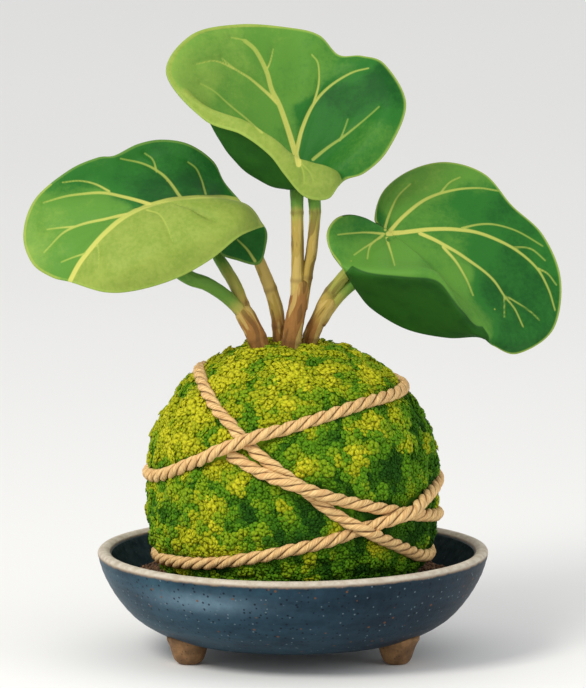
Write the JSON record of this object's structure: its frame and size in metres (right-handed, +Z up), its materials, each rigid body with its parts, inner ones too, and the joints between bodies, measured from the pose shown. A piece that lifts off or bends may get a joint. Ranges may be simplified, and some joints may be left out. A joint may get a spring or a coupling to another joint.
{
  "type": "kokedama moss ball plant",
  "caption": "Kokedama: a leafy plant growing from a moss ball tied with jute twine, set on soil in a shallow blue glazed dish with clay feet.",
  "frame": {"origin": "on the surface that the feet stand on, under the middle of the dish", "axes": "+Z up, -Y towards the side that the picture shows, +X to its right"},
  "size_m": [0.1986, 0.1446, 0.2334],
  "materials": {
    "glaze": "speckled gloss",
    "clay": "bare, matte",
    "soil": "moist soil and grit, matte",
    "moss": "soft pile, matte",
    "ball_soil": "kneaded moist soil, matte",
    "root_wood": "rough",
    "jute": "twisted fibre, matte",
    "bark": "young bark, satin",
    "petiole_green": "smooth, satin",
    "leaf_green": "waxy, satin"
  },
  "bodies": {
    "root": {"dish": "glaze", "dish_foot_left": "clay", "dish_foot_right": "clay", "dish_foot_back": "clay", "soil_bed": "soil", "moss_wrap": "moss", "soil_ball": "ball_soil", "root_mass": "root_wood", "twine": "jute", "stem_left": "bark", "stem_left_inner": "bark", "stem_centre": "bark", "stem_right": "bark", "petiole_left_outer": "petiole_green", "petiole_left_middle": "petiole_green", "petiole_top_left": "petiole_green", "petiole_top_right": "petiole_green", "petiole_right_upper": "petiole_green", "petiole_right_lower": "petiole_green", "leaf_top": "leaf_green", "leaf_left": "leaf_green", "leaf_right": "leaf_green"}
  },
  "joints": []
}
